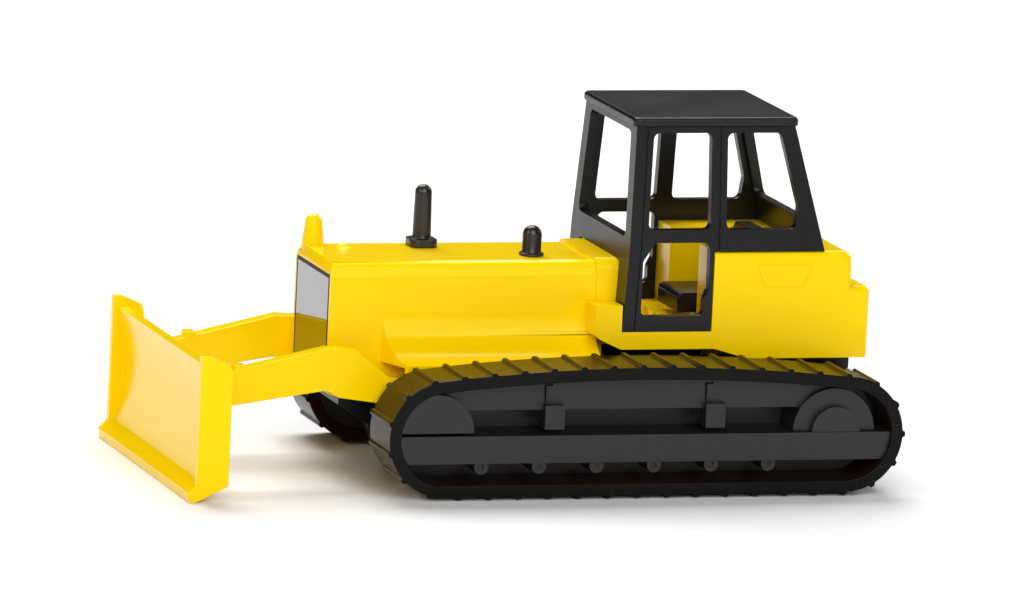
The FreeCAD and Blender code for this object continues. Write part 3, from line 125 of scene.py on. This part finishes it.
FLOOR_SIZE = 8.0
deselect()
bpy.ops.mesh.primitive_plane_add(size=FLOOR_SIZE, location=(0, 0, 0))
floor = bpy.context.object
floor.name = "studio_floor"
board, tree, shader = new_material("matt_white_board")
coordinates = add_node(tree, "ShaderNodeTexCoord")
mottle = add_node(tree, "ShaderNodeTexNoise", [("Scale", 40.0)],
                  [("Vector", coordinates.outputs["Object"])])
shade = add_node(tree, "ShaderNodeMix", [("A", linear("#ebebeb")), ("B", linear("#efefef"))],
                 [("Factor", mottle.outputs["Fac"])], data_type="RGBA")
tree.links.new(shade.outputs["Result"], shader.inputs["Base Color"])
shader.inputs["Roughness"].default_value = 0.6
shader.inputs["Specular IOR Level"].default_value = 0.25
floor.data.materials.append(board)


# ---- Zinc body casting --------------------------------------------------------------------
# Hood, side skirts, cowl, steps and rear body are one zinc die casting, sprayed with thick
# yellow enamel and stoved. The paint rounds the long edges and has a faint orange peel.
def grained(name, dark, light, blotch_mm, grain_mm, grain_height_mm, roughness, spread, sockets=()):
    """Material whose colour drifts in blotches over a fine moulded or sprayed grain."""
    material, tree, shader = new_material(name)
    coordinates = add_node(tree, "ShaderNodeTexCoord")
    blotches = add_node(tree, "ShaderNodeTexNoise", [("Scale", 1000 / blotch_mm), ("Detail", 3.0)],
                        [("Vector", coordinates.outputs["Object"])])
    colour = add_node(tree, "ShaderNodeMix", [("A", linear(dark)), ("B", linear(light))],
                      [("Factor", blotches.outputs["Fac"])], data_type="RGBA")
    gloss = add_node(tree, "ShaderNodeMapRange",
                     [("To Min", roughness - spread), ("To Max", roughness + spread)],
                     [("Value", blotches.outputs["Fac"])])
    grain = add_node(tree, "ShaderNodeTexNoise", [("Scale", 1000 / grain_mm), ("Detail", 2.0)],
                     [("Vector", coordinates.outputs["Object"])])
    bump = add_node(tree, "ShaderNodeBump", [("Distance", grain_height_mm / 1000), ("Strength", 1.0)],
                    [("Height", grain.outputs["Fac"])])
    tree.links.new(colour.outputs["Result"], shader.inputs["Base Color"])
    tree.links.new(gloss.outputs["Result"], shader.inputs["Roughness"])
    tree.links.new(bump.outputs["Normal"], shader.inputs["Normal"])
    for socket, value in sockets:
        shader.inputs[socket].default_value = value
    return material


MERGE_MM = 0.002             # corners nearer than this are one corner
COPLANAR = math.radians(0.6)
SHARP = math.radians(32)     # edges sharper than this are rounded
SMOOTH = math.radians(35)


def bevel_long_edges(piece, bevel_mm, segments, shortest_mm):
    """Round the sharp edges that are long enough to take the radius. Starts in edit mode."""
    bpy.ops.mesh.select_mode(type="EDGE")
    bpy.ops.mesh.select_all(action="DESELECT")
    bpy.ops.mesh.edges_select_sharp(sharpness=SHARP)
    bpy.ops.object.mode_set(mode="OBJECT")
    points = piece.data.vertices
    for edge in piece.data.edges:
        start, end = edge.vertices
        if (points[start].co - points[end].co).length < shortest_mm / 1000:
            edge.select = False
    bpy.ops.object.mode_set(mode="EDIT")
    bpy.ops.mesh.bevel(offset=bevel_mm / 1000, segments=segments, clamp_overlap=True)
    bpy.ops.object.mode_set(mode="OBJECT")


def softened(node, name, bevel_mm, segments=2, shortest_mm=0):
    """A piece made from a CAD node: doubles merged, flat faces joined and its edges rounded."""
    piece = bpy.data.objects.new(name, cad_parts[node].data.copy())
    bpy.context.scene.collection.objects.link(piece)
    deselect()
    piece.select_set(True)
    bpy.context.view_layer.objects.active = piece
    bpy.ops.object.mode_set(mode="EDIT")
    bpy.ops.mesh.select_all(action="SELECT")
    bpy.ops.mesh.remove_doubles(threshold=MERGE_MM / 1000)
    bpy.ops.mesh.dissolve_limited(angle_limit=COPLANAR)
    if shortest_mm:
        bevel_long_edges(piece, bevel_mm, segments, shortest_mm)
    else:
        bpy.ops.object.mode_set(mode="OBJECT")
        rounding = piece.modifiers.new("rounding", "BEVEL")
        rounding.width = bevel_mm / 1000
        rounding.segments = segments
        rounding.limit_method = "ANGLE"
        rounding.angle_limit = SHARP
        bpy.ops.object.modifier_apply(modifier="rounding")
    bpy.ops.object.shade_smooth_by_angle(angle=SMOOTH)
    flats = piece.modifiers.new("flat_faces_stay_flat", "WEIGHTED_NORMAL")
    flats.keep_sharp = True
    bpy.ops.object.modifier_apply(modifier="flat_faces_stay_flat")
    return piece


def finished(piece, node, materials, body):
    """Give a piece its materials, hang it on its moving body and let it stand for its node."""
    piece.data.materials.clear()
    for material in materials:
        piece.data.materials.append(material)
    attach(piece, body)
    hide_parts(node)


# Stoved enamel: a wet-looking yellow with a soft, slightly rippled gloss.
enamel = grained("stoved_yellow_enamel", "#ffd400", "#ffd800", 30.0, 1.6, 0.0015, 0.23, 0.03,
                 [("IOR", 1.5), ("Specular IOR Level", 0.45), ("Specular Tint", linear("#ffe090"))])
casting = softened("body_casting", "painted_body_casting", 0.4, 3, shortest_mm=1.6)
finished(casting, "body_casting", [enamel], "chassis")

# ---- Grille -------------------------------------------------------------------------------
# A plate pressed into the front of the hood: a matt moulded frame round a panel of polished
# black lacquer, so smooth that it mirrors the blade.
GRILLE_FRAME_MM = 0.4
matt_frame = grained("matt_black_moulded_frame", "#090909", "#0c0c0c", 5.0, 0.3, 0.002, 0.6, 0.05)
# Lacquer under a clear coat, with hardly any grain.
lacquer = grained("polished_black_lacquer", "#0a0a0b", "#0d0d0e", 20.0, 4.0, 0.0002, 0.05, 0.015,
                  [("IOR", 1.6), ("Coat Weight", 1.0)])
grille = softened("grille", "grille_plate", 0.06)
finished(grille, "grille", [matt_frame, lacquer], "chassis")
front_face = max(grille.data.polygons, key=lambda face: face.area * face.normal.x)
for face in grille.data.polygons:
    face.select = face == front_face
bpy.ops.object.mode_set(mode="EDIT")
bpy.ops.mesh.select_mode(type="FACE")
bpy.ops.mesh.inset(thickness=GRILLE_FRAME_MM / 1000, depth=0)
grille.active_material_index = 1
bpy.ops.object.material_slot_assign()
bpy.ops.object.mode_set(mode="OBJECT")
bpy.ops.mesh.customdata_custom_splitnormals_clear()
bpy.ops.object.shade_flat()

# ---- Exhaust stack and pre-cleaner --------------------------------------------------------
# Two small mouldings in satin brown-black plastic, plugged into holes in the hood.
stack_plastic = grained("satin_brown_black_polypropylene", "#1d1916", "#26211d", 6.0, 0.3, 0.003, 0.3, 0.05)
for node, name in (("exhaust_stack", "exhaust_stack_moulding"), ("pre_cleaner", "pre_cleaner_moulding")):
    finished(softened(node, name, 0.12), node, [stack_plastic], "chassis")

# ---- Cab, roof, seat and base plate -------------------------------------------------------
# Open cage, roof slab, seat and belly moulded in black ABS from a finely sparked mould, so the
# faces are satin and only the rounded edges shine. The number is each one's edge radius in mm.
cab_plastic = grained("satin_black_abs", "#0e0e0e", "#131313", 8.0, 0.35, 0.002, 0.33, 0.05,
                      [("Specular IOR Level", 0.32)])
for node, name, radius in (("cab_frame", "cab_cage", 0.28), ("cab_roof", "cab_roof_slab", 0.2),
                           ("seat", "driver_seat", 0.3), ("base_plate", "base_plate_moulding", 0.15)):
    finished(softened(node, name, radius), node, [cab_plastic], "chassis")

# ---- Tracks -------------------------------------------------------------------------------
# Each track is a band with 39 cleats, moulded in glossy black, round a satin side moulding
# with beam, skirt, covers and roller heads.
BAND_RIM_Y = 0.0191
BAND_RIM_FADE = 0.0002
band_plastic = grained("glossy_black_track_plastic", "#0c0c0c", "#101010", 5.0, 0.8, 0.0008, 0.2, 0.03,
                       [("Specular IOR Level", 0.1)])

# Painted reflection: the tread gets a warmer, browner black than the neutral rim of the band, standing in
# for the yellow body mirrored in the glossy shoes.
tree = band_plastic.node_tree
shader = tree.nodes["Principled BSDF"]
coordinates = add_node(tree, "ShaderNodeTexCoord")
place = add_node(tree, "ShaderNodeSeparateXYZ", links=[("Vector", coordinates.outputs["Object"])])
outward = add_node(tree, "ShaderNodeMath", links=[(0, place.outputs["Y"])], operation="ABSOLUTE")
on_rim = add_node(tree, "ShaderNodeMapRange",
                  [("From Min", BAND_RIM_Y), ("From Max", BAND_RIM_Y + BAND_RIM_FADE)],
                  [("Value", outward.outputs[0])])
neutral = shader.inputs["Base Color"].links[0].from_socket
# Painted reflection of the yellow body: brown on the tread, the plain black kept on the rim.
painted_reflection_tint = add_node(tree, "ShaderNodeMix", [("A", linear("#21110a"))],
                   [("Factor", on_rim.outputs["Result"]), ("B", neutral)], data_type="RGBA")
tree.links.new(painted_reflection_tint.outputs["Result"], shader.inputs["Base Color"])

# The side moulding is satin, with a slightly coarser grain.
side_plastic = grained("satin_black_track_plastic", "#121313", "#181919", 7.0, 0.4, 0.004, 0.42, 0.06)
for side in ("left", "right"):
    for node, name, material in ((f"track_band_{side}", f"{side}_track_shoes", band_plastic),
                                 (f"track_frame_{side}", f"{side}_track_side", side_plastic)):
        finished(softened(node, name, 0.12), node, [material], "chassis")

# ---- Blade and arms -----------------------------------------------------------------------
# Moldboard, end plates and push arms are injection-moulded in yellow plastic, glossy on the
# dished face and with tight edges where the two mould halves meet.
blade_plastic = grained("glossy_yellow_polystyrene", "#ffd200", "#ffd600", 25.0, 2.0, 0.001, 0.16, 0.03,
                        [("Specular IOR Level", 0.35), ("Specular Tint", linear("#ffe090"))])
for node, name, radius in (("blade", "dozer_blade", 0.15), ("push_arm_left", "left_push_arm", 0.2),
                           ("push_arm_right", "right_push_arm", 0.2)):
    finished(softened(node, name, radius), node, [blade_plastic], "blade_unit")

# ---- Wheels -------------------------------------------------------------------------------
# Four hidden wheels in hard black plastic, pressed on wire axles.
wheel_plastic = grained("hard_black_polyamide", "#161616", "#1c1c1c", 5.0, 0.5, 0.002, 0.35, 0.05)
for end in ("front", "rear"):
    for side in ("left", "right"):
        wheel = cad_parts[f"{end}_wheel_{side}"]
        wheel.data.materials.clear()
        wheel.data.materials.append(wheel_plastic)

# ---- Steel wire parts ---------------------------------------------------------------------
# Axles, pivot pins and rivets are cut from bright drawn wire, with fine lines along the draw.
steel, tree, shader = new_material("bright_drawn_steel")
coordinates = add_node(tree, "ShaderNodeTexCoord")
stretch = add_node(tree, "ShaderNodeMapping", [("Scale", (6000.0, 300.0, 6000.0))],
                   [("Vector", coordinates.outputs["Object"])])
lines = add_node(tree, "ShaderNodeTexNoise", [("Scale", 1.0)], [("Vector", stretch.outputs["Vector"])])
polish = add_node(tree, "ShaderNodeMapRange", [("To Min", 0.22), ("To Max", 0.4)],
                  [("Value", lines.outputs["Fac"])])
tree.links.new(polish.outputs["Result"], shader.inputs["Roughness"])
shader.inputs["Base Color"].default_value = linear("#b9b9b6")
shader.inputs["Metallic"].default_value = 1.0
for node in ("front_axle", "rear_axle", "pivot_pin_left", "pivot_pin_right", "rivet_front", "rivet_rear"):
    wire_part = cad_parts[node]
    wire_part.data.materials.clear()
    wire_part.data.materials.append(steel)
